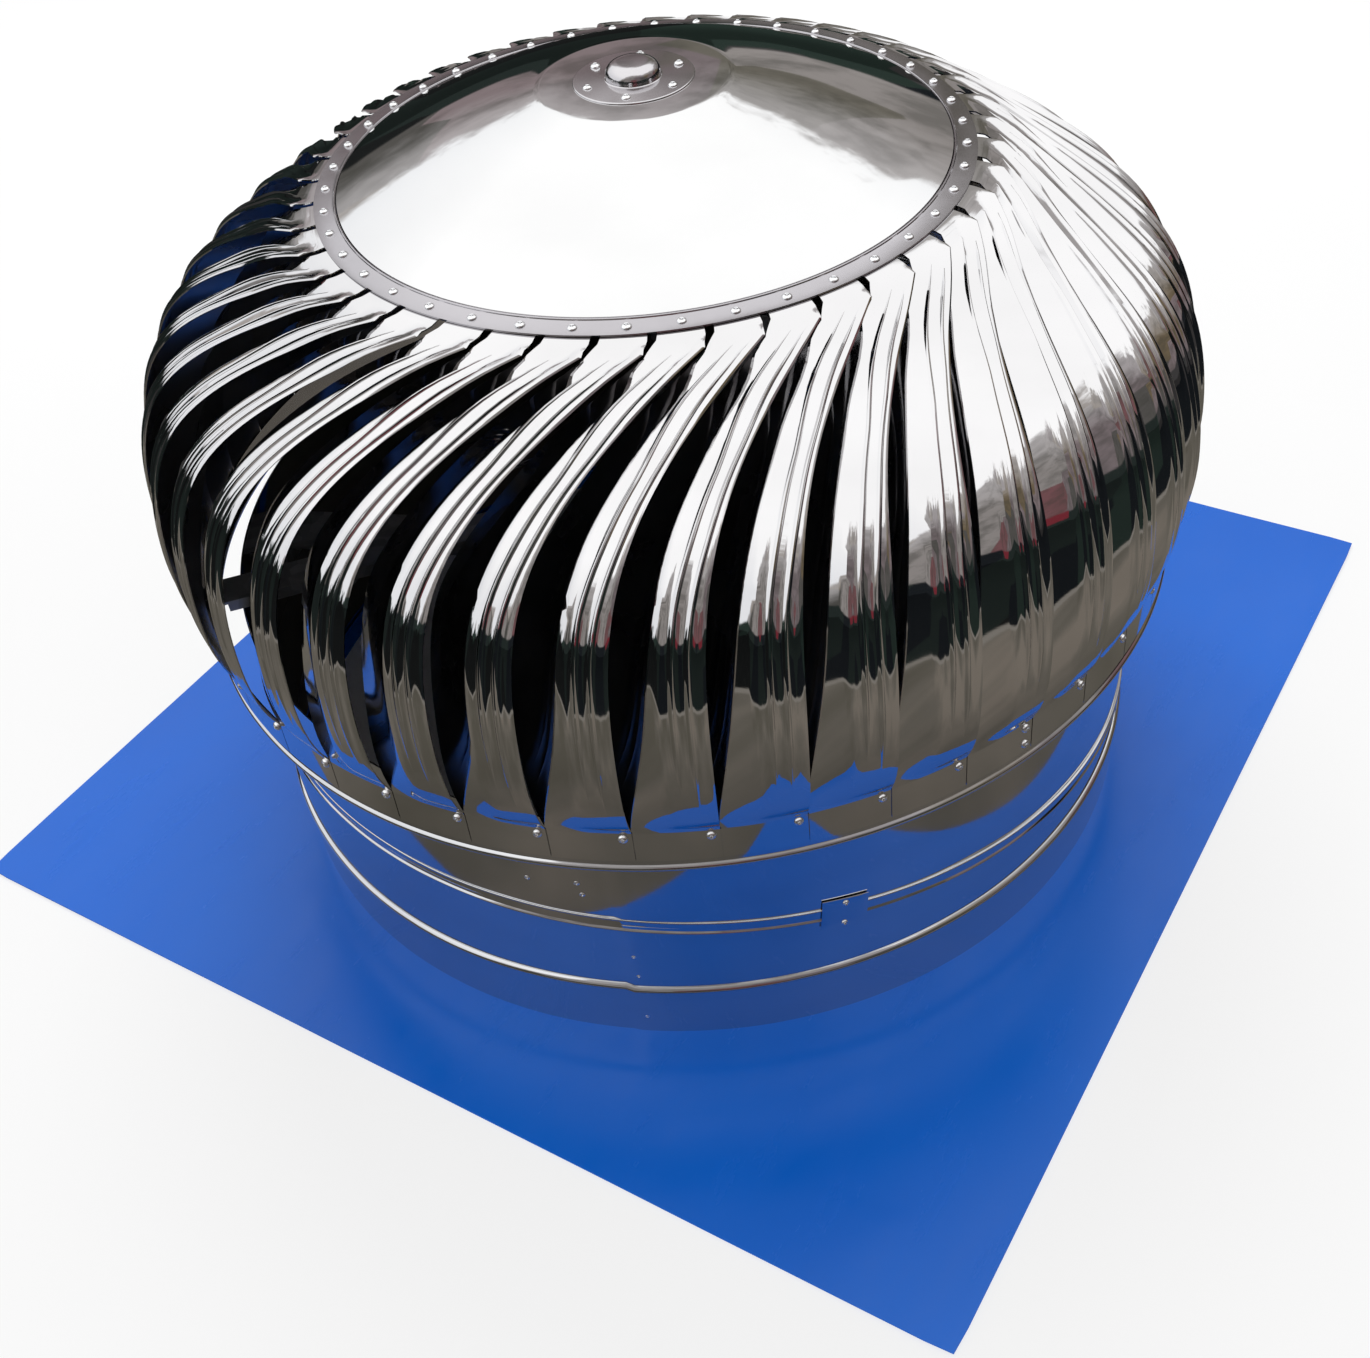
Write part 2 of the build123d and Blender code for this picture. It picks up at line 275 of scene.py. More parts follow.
def rivetAlloy():
    alloy = Finish("rivetAluminium")
    scuff = alloy.cloud(900, 3)
    alloy.set(Base_Color=alloy.ramp(scuff, (0.3, (0.80, 0.81, 0.82)), (0.7, (0.93, 0.93, 0.94))),
              Metallic=1.0, Roughness=alloy.ramp(scuff, (0.3, 0.22), (0.7, 0.36)))
    alloy.set(Normal=alloy.bump(scuff, 0.08, 0.1 * mm))
    return alloy.material


def bluePaint():
    paint = Finish("blueSheetPaint")
    fade = paint.cloud(3.2, 3)
    orange = paint.cloud(420, 2)
    scuffs = paint.cloud(34, 6, paint.stretched(1, 0.25, 1), 0.7)
    base = paint.ramp(fade, (0.3, (0.0006, 0.120, 0.62)), (0.7, (0.0015, 0.145, 0.70)))
    marked = paint.mix(paint.ramp(scuffs, (0.74, 0.0), (0.84, 0.2)), base, (0.02, 0.20, 0.74))
    paint.set(Base_Color=marked, Roughness=paint.ramp(scuffs, (0.35, 0.20), (0.7, 0.30)))
    paint.shader.inputs["IOR"].default_value = 1.42
    paint.set(Normal=paint.bump(orange, 0.03, 0.1 * mm))
    return paint.material


def zincSheet():
    # galvanised steel with its spangle
    zinc = Finish("galvanisedSheet")
    cells = zinc.node("ShaderNodeTexVoronoi", Vector=zinc.place, Scale=95.0)
    tone = zinc.ramp(cells.outputs["Color"], (0.1, (0.38, 0.39, 0.40)), (0.9, (0.58, 0.59, 0.60)))
    zinc.set(Base_Color=tone, Metallic=0.9,
             Roughness=zinc.ramp(zinc.cloud(30, 4), (0.3, 0.34), (0.7, 0.5)))
    zinc.set(Normal=zinc.bump(cells.outputs["Distance"], 0.05, 0.2 * mm))
    return zinc.material


def turnedSteel():
    steel = Finish("turnedSpindleSteel")
    rings = steel.cloud(60, 3, steel.stretched(1, 1, 22))
    steel.set(Base_Color=steel.ramp(rings, (0.3, (0.42, 0.42, 0.43)), (0.7, (0.60, 0.60, 0.61))),
              Metallic=1.0, Roughness=steel.ramp(rings, (0.3, 0.24), (0.7, 0.4)))
    steel.set(Normal=steel.bump(rings, 0.05, 0.1 * mm))
    return steel.material


# the vanes' back faces get a sheet darkened with painted shade
vaneBackShaded = shadedInnerSheet()
rivetMetal = rivetAlloy()
sheetPaint = bluePaint()
zinc = zincSheet()
spindleMetal = turnedSteel()
keptNodes = {   # parts shown as they are, with their finish
    "throat_bracket": zinc, "rotor_spider": zinc, "upper_housing": zinc,
    "spindle": spindleMetal, "spindle_nut_upper": spindleMetal, "spindle_nut_lower": spindleMetal,
    "upper_bearing": spindleMetal, "lower_bearing": spindleMetal,
}
for node, made in keptNodes.items():
    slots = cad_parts[node].data.materials
    for i in range(len(slots)):
        slots[i] = made
print("finishes made")


rivetSize = {"head": 2.8 * mm, "rise": 1.5 * mm, "bore": 1.0 * mm}


def rivetLine():
    # half section of a blind rivet head with the broken pin inside its bore
    head, rise, bore = rivetSize["head"], rivetSize["rise"], rivetSize["bore"]
    dome = [(head, -0.3 * mm), (head, 0.25 * mm)]
    for a in (25, 45, 62, 78):
        r = head * math.cos(math.radians(a))
        dome.append((max(r, bore + 0.25 * mm), rise * math.sin(math.radians(a)) + 0.2 * mm))
    return dome + [(bore, rise), (bore, 0.4 * mm), (bore * 0.75, 0.6 * mm), (0.0, 0.75 * mm)]


def rivetField(name, places, seed, scale=1.0):
    # places: (point, outward direction)
    dice = random.Random(seed)
    line, steps = rivetLine(), 16
    points, faces = [], []
    for spot, outward in places:
        lean = Vector((dice.uniform(-0.05, 0.05), dice.uniform(-0.05, 0.05), 0))
        turn = (Vector(outward).normalized() + lean).to_track_quat("Z", "Y").to_matrix()
        start, size = len(points), scale * dice.uniform(0.95, 1.05)
        for r, z in line:
            for s in range(steps):
                a = 2 * math.pi * s / steps
                local = Vector((r * math.cos(a), r * math.sin(a), z)) * size
                points.append(Vector(spot) + turn @ local)
        for i in range(len(line) - 1):
            for s in range(steps):
                t = (s + 1) % steps
                a, b = start + i * steps, start + (i + 1) * steps
                faces.append((a + s, a + t, b + t, b + s))
    return makePiece(name, points, faces, [rivetMetal], 40)


baseSheet = {
    "side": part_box("base_flashing")[1].x * 2,
    "thick": 1.2 * mm,
    "collarHeight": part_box("base_flashing")[1].z,
    "collarOut": 298.7 * mm,
    "corner": 3 * mm,
    "wave": 1.3 * mm,
    "flatTo": 300 * mm,     # no waves inside this radius
    "wavyFrom": 335 * mm,   # full waves outside this one
    "rings": 30,
    "steps": 256,
    "dents": [((346, 56), 26, 1.4), ((330, 108), 18, 1.1),      # (place), radius and depth in mm
              ((308, -330), 24, 0.9), ((-350, -150), 30, 0.8)],
}


def squareEdge(azimuth, half, corner):
    c, s = math.cos(math.radians(azimuth)), math.sin(math.radians(azimuth))
    reach = half / max(abs(c), abs(s))
    x, y = reach * c, reach * s
    over = min(abs(x), abs(y)) - (half - corner)
    if over > 0:  # round the corner
        cx, cy = math.copysign(half - corner, x), math.copysign(half - corner, y)
        d = math.hypot(x - cx, y - cy)
        x, y = cx + (x - cx) * corner / d, cy + (y - cy) * corner / d
    return x, y


def sheetRise(x, y):
    # long waves of the thin sheet, never below the floor
    p = baseSheet
    swell = noise.noise(Vector((x * 5.5, y * 5.5, 3.1)))
    swell += 0.5 * noise.noise(Vector((x * 13, y * 13, 7.7)))
    rise = p["wave"] * max(0.0, 0.5 + 0.6 * swell)
    for (dx, dy), radius, depth in p["dents"]:
        d = math.hypot(x - dx * mm, y - dy * mm) / (radius * mm)
        crumple = 0.6 + 0.8 * noise.noise(Vector((x * 90, y * 90, 0)))
        rise += depth * mm * math.exp(-d * d * 1.6) * crumple
    return max(0.0, rise) * ease(math.hypot(x, y), p["flatTo"], p["wavyFrom"])


def buildBaseSheet():
    p = baseSheet
    points, faces = [], []
    collarIn = p["collarOut"] - p["thick"]
    line = [(collarIn, 0.0), (collarIn, p["collarHeight"]),
            (p["collarOut"], p["collarHeight"]), (p["collarOut"], p["thick"] * 1.6)]
    count = len(line) + 2 * (p["rings"] + 1)
    for s in range(p["steps"]):
        az = 360 * s / p["steps"]
        ex, ey = squareEdge(az, p["side"] / 2, p["corner"])
        column = [polar(r, az, z) for r, z in line]
        top, under = [], []
        for i in range(p["rings"] + 1):
            f = i / p["rings"]
            near = polar(p["collarOut"] + 0.4 * mm, az, 0)
            x, y = near.x + (ex - near.x) * f, near.y + (ey - near.y) * f
            z = sheetRise(x, y)
            top.append(Vector((x, y, z + p["thick"])))
            under.append(Vector((x, y, z)))
        points += column + top + under[::-1]
    for s in range(p["steps"]):
        a, b = s * count, (s + 1) % p["steps"] * count
        for i in range(count):
            j = (i + 1) % count
            faces.append((a + i, b + i, b + j, a + j))
    return makePiece("baseSheet", points, faces, [sheetPaint], 40)


attach(buildBaseSheet(), "base", "painted_sheet", "base_flashing")
print("base sheet built")


throat = {
    "radius": 300 * mm,
    "thick": 1.0 * mm,
    "beadHeight": 45 * mm,
    "beadOut": 2.6 * mm,
    "beadHalf": 2.6 * mm,
    "jointHeight": 86 * mm,
    "jointTilt": 5.5,
    "jointLow": 68,
    "top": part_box("upper_throat")[1].z,
    "seam": -67.7,          # azimuth of the upright joint in the sheet
    "lap": 0.8 * mm,
    "ripple": 0.35 * mm,
    "beadSlip": 1.6 * mm,   # the bead doesn't quite meet itself at the seam
    "jointGap": 0.4 * mm,   # from each edge to the middle of the joint
}
jointSlope = math.tan(math.radians(throat["jointTilt"]))
jointPlace = (Matrix.Translation((0, 0, throat["jointHeight"]))
              @ Matrix.Rotation(math.radians(throat["jointLow"]), 4, "Z")
              @ Matrix.Rotation(math.radians(throat["jointTilt"]), 4, "Y"))


def jointZ(azimuth):
    fromLow = math.radians(azimuth - throat["jointLow"])
    return throat["jointHeight"] - throat["radius"] * jointSlope * math.cos(fromLow)


def pastSeam(azimuth, seam):
    return ((azimuth - seam) % 360) / 360


def throatShape(seed):
    # hand-rolled sheet: a lap step at the seam and slow ripples that bend its reflections
    def shape(az, r, z):
        turn = pastSeam(az, throat["seam"])
        step = throat["lap"] * (1 - turn) ** 3 * (turn > 0)
        wander = ringNoise(az, 2.6, z * 9 + seed) + 0.4 * ringNoise(az, 7, z * 14 + seed)
        return r + step + throat["ripple"] * wander, z
    return shape


def beadLine(z, out, half, radius, count=8):
    # a swaged half-round bead as points of a line going up
    spots = []
    for i in range(count + 1):
        f = -1 + 2 * i / count
        spots.append((radius + out * math.cos(f * math.pi / 2) ** 1.2, z + half * f))
    return spots


def buildLowerThroat():
    p = throat
    ripple = throatShape(1.0)
    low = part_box("lower_throat")[0].z
    rise = p["jointHeight"]
    line = [(p["radius"], low + (p["beadHeight"] - p["beadHalf"] - low) * i / 6) for i in range(7)]
    line += beadLine(p["beadHeight"], p["beadOut"], p["beadHalf"], p["radius"])
    start = p["beadHeight"] + p["beadHalf"]
    line += [(p["radius"], start + (rise - start) * i / 8) for i in range(1, 9)]

    def shape(az, r, z):
        above = ease(z, start, rise)
        r, z = ripple(az, r, z)
        slip = p["beadSlip"] * (pastSeam(az, p["seam"]) - 0.5)
        slip *= ease(z, 5 * mm, 30 * mm) * (1 - above)
        if z > start:
            z = start + (z - start) * (jointZ(az) - p["jointGap"] - start) / (rise - start)
        return r, z + slip

    return spun("lowerThroat", sheetOutline(line, -p["thick"]), [throatSteel], 360, shape)


def buildUpperThroat():
    p = throat
    ripple = throatShape(5.0)
    low, high = p["jointHeight"], p["top"]
    line = [(p["radius"], low + (high - low) * i / 14) for i in range(15)]

    def shape(az, r, z):
        r, z = ripple(az, r, z)
        bottom = jointZ(az) + p["jointGap"]
        return r, bottom + (z - low) * (high - bottom) / (high - low)

    return spun("upperThroat", sheetOutline(line, -p["thick"]), [throatSteel], 360, shape)


band = {"out": 303.2 * mm, "lip": 301.6 * mm, "half": 5.2 * mm, "roll": 0.8 * mm,
        "valley": 1.0 * mm, "fold": 2.4 * mm, "ripple": 0.15 * mm}


def buildSwivelBand():
    # folded band with a rolled edge above and below the joint
    b = band
    curl, middle = b["out"] - b["roll"], b["out"] - b["valley"]
    line = [(b["lip"], -b["half"])]
    line += arcPoints(curl, -b["half"] + b["roll"], b["roll"], -90, 40, 6)
    line += [(middle, -b["half"] + b["fold"]), (middle, b["half"] - b["fold"])]
    line += arcPoints(curl, b["half"] - b["roll"], b["roll"], -40, 90, 6)
    line += [(b["lip"], b["half"]), (b["lip"], -b["half"])]

    def shape(az, r, z):
        wander = ringNoise(az, 5, 9.0)
        return r + b["ripple"] * wander, z * (1 + 0.12 * wander)

    piece = spun("swivelBand", line, [throatSteel], 360, shape)
    piece.data.transform(jointPlace)
    return piece


clip = {"azimuth": -42.0, "arc": 5.5, "height": 24 * mm, "radius": 303.3 * mm,
        "thick": 0.5 * mm, "edgeDrop": 0.35 * mm, "rivetOut": 8.5 * mm}


def buildBandClip():
    # bent strap over the ends of the band, edges turned down
    c = clip
    across, upward = 14, 10
    points, faces = [], []
    for side in (0, 1):
        for i in range(across + 1):
            for j in range(upward + 1):
                u, v = i / across * 2 - 1, j / upward * 2 - 1
                edge = ease(max(abs(u), abs(v)), 0.8, 1.0)
                r = c["radius"] + c["thick"] * (1 - side) - c["edgeDrop"] * edge
                az = c["azimuth"] - throat["jointLow"] + u * c["arc"] / 2
                spot = polar(r, az, v * c["height"] / 2)
                points.append(jointPlace @ spot)
    half = (across + 1) * (upward + 1)
    for i in range(across):
        for j in range(upward):
            a = i * (upward + 1) + j
            b = a + upward + 1
            faces.append((a, b, b + 1, a + 1))
            faces.append((half + a + 1, half + b + 1, half + b, half + a))
    rim = [i * (upward + 1) for i in range(across + 1)]
    rim += [across * (upward + 1) + j for j in range(1, upward + 1)]
    rim += [i * (upward + 1) + upward for i in range(across - 1, -1, -1)]
    rim += [j for j in range(upward - 1, 0, -1)]
    for a, b in zip(rim, rim[1:] + rim[:1]):
        faces.append((a, half + a, half + b, b))
    return makePiece("bandClip", points, faces, [throatSteel], 40)


attach(buildLowerThroat(), "base", "throat_sheet", "lower_throat")
attach(buildUpperThroat(), "head", "throat_sheet", "upper_throat")
attach(buildSwivelBand(), "base", "throat_sheet", "swivel_band")
attach(buildBandClip(), "base", "throat_sheet", "band_clip")

throatRivets = {
    "scale": 0.72,
    "seam": [(1.2, 76 * mm), (1.4, 57 * mm), (1.6, 16 * mm)],   # degrees past the seam, height
    "strap": -69,           # azimuth of the first foot of the bracket
    "foot": [(-2.6, 141 * mm), (-2.2, 131 * mm), (2.4, 141 * mm), (2.7, 131 * mm)],
    "stray": [(-77.5, 139 * mm), (-61.0, 136 * mm)],
}


def wallRivets(marks, lift):
    return [(polar(throat["radius"] + lift, az, z), polar(1, az, 0)) for az, z in marks]


lowerRivets = wallRivets([(throat["seam"] + az, z) for az, z in throatRivets["seam"]], 0.9 * mm)
for z in (-clip["rivetOut"], clip["rivetOut"]):
    spot = polar(clip["radius"] + clip["thick"], clip["azimuth"] - throat["jointLow"], z)
    lowerRivets.append((jointPlace @ spot, polar(1, clip["azimuth"], 0)))
attach(rivetField("lowerThroatRivets", lowerRivets, 3, throatRivets["scale"]), "base", "throat_sheet")

bracketMarks = [(throatRivets["strap"] + 90 * strap + az, z)
                for strap in range(4) for az, z in throatRivets["foot"]]
bracketRivets = wallRivets(bracketMarks + throatRivets["stray"], 0.3 * mm)
attach(rivetField("bracketRivets", bracketRivets, 4, throatRivets["scale"]), "head", "throat_sheet")
print("throat built")


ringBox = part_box("lower_ring")
lowerRing = {"roll": 2.3 * mm, "rollInset": 2.2 * mm, "thick": 1.0 * mm, "wave": 0.2 * mm}
lowerRing["radius"] = ringBox[1].x - lowerRing["rollInset"]
lowerRing["rollHeight"] = ringBox[0].z + lowerRing["rollInset"]
lowerRing["top"] = ringBox[1].z


def buildLowerRing():
    p = lowerRing
    roll = arcPoints(p["radius"] - 0.5 * mm, p["rollHeight"], p["roll"], -200, 62, 14)
    line = roll + [(p["radius"], p["rollHeight"] + 2.6 * mm), (p["radius"], p["top"])]
    line += [(p["radius"] - p["thick"], p["top"]), (p["radius"] - p["thick"], p["rollHeight"] + 2.8 * mm)]

    def shape(az, r, z):
        return r + p["wave"] * ringNoise(az, 3, z * 8), z

    return spun("lowerRing", line, [throatSteel], 360, shape)


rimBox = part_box("top_ring")
rim = {
    "outer": rimBox[1].x,
    "seen": 193 * mm,       # the visible band ends here
    "inner": 180 * mm,
    "rivets": 187 * mm,     # radius and height of the rivet circle
    "rivetZ": 442.5 * mm,
    "slope": math.tan(math.radians(5)),
    "thick": 1.0 * mm,
    "bead": 0.75 * mm,
    "wave": 0.15 * mm,
}


def rimZ(radius):  # outer face of the rim band
    return rim["rivetZ"] - (radius - rim["rivets"]) * rim["slope"]


def buildRimBand():
    p = rim
    top = rimZ(p["inner"])
    line = [(p["seen"], rimZ(p["seen"])), (p["inner"] + 3 * mm, rimZ(p["inner"] + 3 * mm)),
            (p["inner"] + 1.4 * mm, top + 0.3 * mm)]
    line += arcPoints(p["inner"] + 0.55 * mm, top + 0.55 * mm, p["bead"], 0, 180, 6)
    line += [(p["inner"] - 0.2 * mm, top - p["thick"]), (p["seen"], rimZ(p["seen"]) - p["thick"])]

    def shape(az, r, z):
        return r, z + p["wave"] * ringNoise(az, 6, 2.0) * ease(r, p["inner"], p["seen"])

    return spun("rimBand", line, [rimSteel], 360, shape)


dome = {
    "edge": 178.6 * mm,
    "flat": 56 * mm,        # pressed disc around the hub
    "flatZ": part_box("top_dome")[1].z,
    "hole": 12 * mm,
    "crown": 3.4 * mm,
    "press": 1.2 * mm,
    "skirt": 2.5 * mm,
    "thick": 1.0 * mm,
    "wave": 0.5 * mm,
}


def buildDome():
    # shallow crowned cone, with a disc pressed flat around the hub
    p = dome
    edgeZ = rimZ(rim["inner"]) + 0.4 * mm
    slopeR = p["flat"] + 2 * mm
    line = [(p["hole"], p["flatZ"]), (p["flat"] - 2.5 * mm, p["flatZ"]),
            (p["flat"], p["flatZ"] - 0.5 * mm), (slopeR, p["flatZ"] - p["press"])]
    start = p["flatZ"] - p["press"] - 0.2 * mm
    for i in range(1, 25):
        f = i / 24
        z = start + (edgeZ - start) * f + p["crown"] * math.sin(math.pi * f)
        line.append((slopeR + (p["edge"] - slopeR) * f, z))
    line.append((p["edge"] + 0.4 * mm, edgeZ - p["skirt"]))

    def shape(az, r, z):
        a = math.radians(az)
        spot = Vector((r * math.cos(a), r * math.sin(a), 0))
        wander = noise.noise(spot * 9 + Vector((4, 0, 1))) + 0.35 * noise.noise(spot * 24)
        inside = ease(r, 60 * mm, 90 * mm) * (1 - ease(r, 165 * mm, 176 * mm))
        return r, z + p["wave"] * wander * inside

    return spun("domeTop", sheetOutline(line, p["thick"]), [domeSteel], 256, shape)


hub = {
    "disc": 35 * mm,
    "rise": 2.0 * mm,
    "cap": 16 * mm,
    "capFlat": 9 * mm,      # radius of the cap's flat top
    "capRise": 9 * mm,
    "roll": 0.8 * mm,
    "rivets": 28 * mm,
    "count": 6,
    "firstRivet": 54,
}


def buildHub():
    p = hub
    base, roll, flat = dome["flatZ"], p["roll"], p["capFlat"]
    top = base + p["rise"]
    crest, shoulder = top + p["capRise"], top + 2 * roll
    line = [(p["disc"], base)]
    line += arcPoints(p["disc"] - roll, top - roll, roll, 0, 90, 4)
    line += arcPoints(p["cap"] + roll, top + roll, roll, -90, -180, 4)
    for a in range(0, 90, 12):  # rolled shoulder up to the flat top
        a = math.radians(a)
        line.append((flat + (p["cap"] - flat) * math.cos(a),
                     shoulder + (crest - 0.3 * mm - shoulder) * math.sin(a)))
    line += [(flat - 1 * mm, crest - 0.15 * mm), (0.0, crest)]
    line += [(0.0, crest - 2 * mm), (12 * mm, crest - 2 * mm), (14 * mm, base)]
    return spun("hubCap", line, [hubSteel], 128)


attach(buildLowerRing(), "rotor", "vane_sheet", "lower_ring")
attach(buildRimBand(), "rotor", "rim_sheet", "top_ring")
attach(buildDome(), "rotor", "dome_sheet", "top_dome")
attach(buildHub(), "rotor", "hub_sheet", "bearing_cap")
hubSpots = []
for i in range(hub["count"]):
    az = hub["firstRivet"] + 360 / hub["count"] * i
    hubSpots.append((polar(hub["rivets"], az, dome["flatZ"] + hub["rise"]), (0, 0, 1)))
attach(rivetField("hubRivets", hubSpots, 5), "rotor", "hub_sheet")
print("rings, dome and hub built")


vaneCount = sum(name.startswith("vane_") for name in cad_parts)
pitch = 360 / vaneCount
vane = {
    "thick": 0.8 * mm,
    "azimuth": -63.5,       # outer edge of the first vane at its foot
    "sweep": 22.6,
    "sweepPower": 4.7,
    "headSlope": 22,
    "depth": 31 * mm,
    "crease": 0.5,          # share of a pitch in from the outer edge
    "creaseDepth": 2.5 * mm,
    "lap": 0.28,            # how far the inner edge runs behind the next vane, in pitches
    "gap": 0.014,
    "tabOuter": 0.7,
    "tabInner": -6.4,
    "ribHigh": 1.4 * mm,
    "ribHalf": 0.044,       # half the width of a rib, in pitches
    "noseLift": 3.0 * mm,   # outer corner stands above the tab at the head
    "edgeTurn": 0.7 * mm,
    "wave": 0.25 * mm,
    "belly": [(12.6 * mm, 65 * mm), (-14.4 * mm, 158 * mm), (-68.4 * mm, 200 * mm)],  # from the foot
    "headIn": 113.4 * mm,
    "underRim": 1.3 * mm,
    "rows": 44,
}
ringR, footZ = lowerRing["radius"], lowerRing["top"] + 1.5 * mm
footR = ringR + 0.3 * mm + vane["thick"]
headSlope = math.tan(math.radians(vane["headSlope"]))
headR = ringR - vane["headIn"]
headZ = rimZ(rim["outer"]) - vane["underRim"] - (headR - rim["outer"]) * headSlope
bellySpots = np.array([(footR, footZ)] + [(ringR + r, footZ + z) for r, z in vane["belly"]] + [(headR, headZ)])


def splineSlopes(spots, first, last):
    # tangents of a smooth cubic through the spots, with both ends held
    steps = np.linalg.norm(np.diff(spots, axis=0), axis=1)
    n = len(spots)
    grid, right = np.zeros((n, n)), np.zeros((n, 2))
    grid[0, 0] = grid[-1, -1] = 1
    right[0], right[-1] = first, last
    for i in range(1, n - 1):
        before, after = steps[i - 1], steps[i]
        grid[i, i - 1], grid[i, i], grid[i, i + 1] = after, 2 * (before + after), before
        rise, fall = (spots[i] - spots[i - 1]) / before, (spots[i + 1] - spots[i]) / after
        right[i] = 3 * (after * rise + before * fall)
    return steps, np.linalg.solve(grid, right)


def unit(x, y):
    return np.array([x, y]) / math.hypot(x, y)


bellySteps, bellySlopes = splineSlopes(bellySpots, unit(0.55, 1), unit(-1, headSlope))
bellyMarks = np.concatenate([[0], np.cumsum(bellySteps)])


def belly(t):
    # point and direction of the meridian that the outer edges follow
    s = t * bellyMarks[-1]
    i = min(max(int(np.searchsorted(bellyMarks, s)) - 1, 0), len(bellySteps) - 1)
    h = bellySteps[i]
    x = (s - bellyMarks[i]) / h
    p, q, a, b = bellySpots[i], bellySpots[i + 1], bellySlopes[i] * h, bellySlopes[i + 1] * h
    spot = (2 * x**3 - 3 * x**2 + 1) * p + (x**3 - 2 * x**2 + x) * a
    spot = spot + (3 * x**2 - 2 * x**3) * q + (x**3 - x**2) * b
    way = (6 * x**2 - 6 * x) * p + (3 * x**2 - 4 * x + 1) * a
    way = way + (6 * x - 6 * x**2) * q + (3 * x**2 - 2 * x) * b
    return spot, way / np.linalg.norm(way)


def ribPlaces(t):
    # the two pressed ribs, as shares of a pitch in from the outer edge
    wide = 0.36 - 0.05 * ease(t, 0.50, 0.68) + 0.24 * ease(t, 0.76, 0.95)
    narrow = 0.19 - 0.08 * ease(t, 0.45, 0.70) + 0.10 * ease(t, 0.80, 0.93)
    return narrow, wide


ribShape = [(-1, 0.0), (-0.62, 0.30), (-0.3, 0.84), (0, 1.0), (0.3, 0.84), (0.62, 0.30), (1, 0.0)]


def vaneColumns(t, reach):
    # (share of a pitch from the outer edge, rib height) across the vane
    narrow, wide = ribPlaces(t)
    columns = [(0.0, 0), (0.018, 0), (0.045, 0)]
    fadeNarrow = ease(t, 0.10, 0.24) * (1 - ease(t, 0.94, 0.985))
    fadeWide = ease(t, 0.13, 0.30) * (1 - ease(t, 0.955, 0.995))
    for middle, fade in ((narrow, fadeNarrow), (wide, fadeWide)):
        half = vane["ribHalf"] * (0.4 + 0.6 * fade)
        columns.append(((columns[-1][0] + middle - half) / 2, 0))
        columns += [(middle + x * half, y * fade) for x, y in ribShape]
    start = columns[-1][0]
    for f in (0.05, 0.12, 0.2, 0.3, 0.4, 0.5, 0.6, 0.7, 0.8, 0.9, 1.0):
        columns.append((start + (reach - start) * f, 0))
    return columns


def nose(u):
    return vane["noseLift"] * (1 - ease(u, 0.0, 0.42))


def vaneRows(dice):
    v = vane
    whole = 1 - v["gap"]
    spread = dice.uniform(0.95, 1.04)
    drift = dice.uniform(-0.10, 0.10)
    seed = dice.uniform(0, 50)
    rows = []
    footCols = vaneColumns(0.0, whole)
    for z in (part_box("vane_01")[0].z, footZ - 3 * mm, footZ - 0.6 * mm):
        rows.append([polar(footR, v["azimuth"] - u * pitch, z) for u, _ in footCols])
    for i in range(v["rows"] + 1):
        t = i / v["rows"]
        opening = max(0.0, math.sin(math.pi * t)) ** 0.8 * spread
        reach = whole + v["lap"] * opening
        edgeAz = v["azimuth"] + v["sweep"] * t ** v["sweepPower"] + drift * math.sin(math.pi * t)
        spot, way = belly(t)
        row = []
        for u, rib in vaneColumns(t, reach):
            inward = v["creaseDepth"] * min(u / v["crease"], 1)
            if u > v["crease"]:
                s = (u - v["crease"]) / (whole + v["lap"] - v["crease"])
                inward += (v["depth"] - v["creaseDepth"]) * s
            depth = inward * opening - v["ribHigh"] * rib
            depth += v["edgeTurn"] * (1 - ease(u, 0.0, 0.04)) * ease(t, 0.05, 0.2)
            depth -= nose(u) * ease(t, 0.86, 0.97)
            buckle = noise.noise(Vector((u * 1.6 + seed, t * 5.0, seed)))
            depth += v["wave"] * buckle * math.sin(math.pi * t)
            r, z = spot[0] - way[1] * depth, spot[1] + way[0] * depth
            row.append(polar(r, edgeAz - u * pitch, z))
        rows.append(row)
    headAz = v["azimuth"] + v["sweep"]
    tabCols = [u for u, _ in vaneColumns(1.0, whole)]
    tabRows = [(headR - 2.5 * mm, 0.2, 0.8), (headR - 5.5 * mm, 0.5, 0.35),  # radius, share of tab, lift
               (rim["seen"] + 5 * mm, 0.9, 0.0), (rim["seen"] + 1 * mm, 1.0, 0.0),
               (rim["inner"] + 2 * mm, 1.0, 0.0)]
    for radius, share, lift in tabRows:
        z = min(headZ + (headR - radius) * headSlope, rimZ(radius) - v["underRim"])
        row = []
        for u in tabCols:
            free = headAz - u * pitch
            tab = headAz + v["tabOuter"] + (v["tabInner"] - v["tabOuter"]) * u / whole
            row.append(polar(radius, free + (tab - free) * share, z + nose(u) * lift))
        rows.append(row)
    return rows


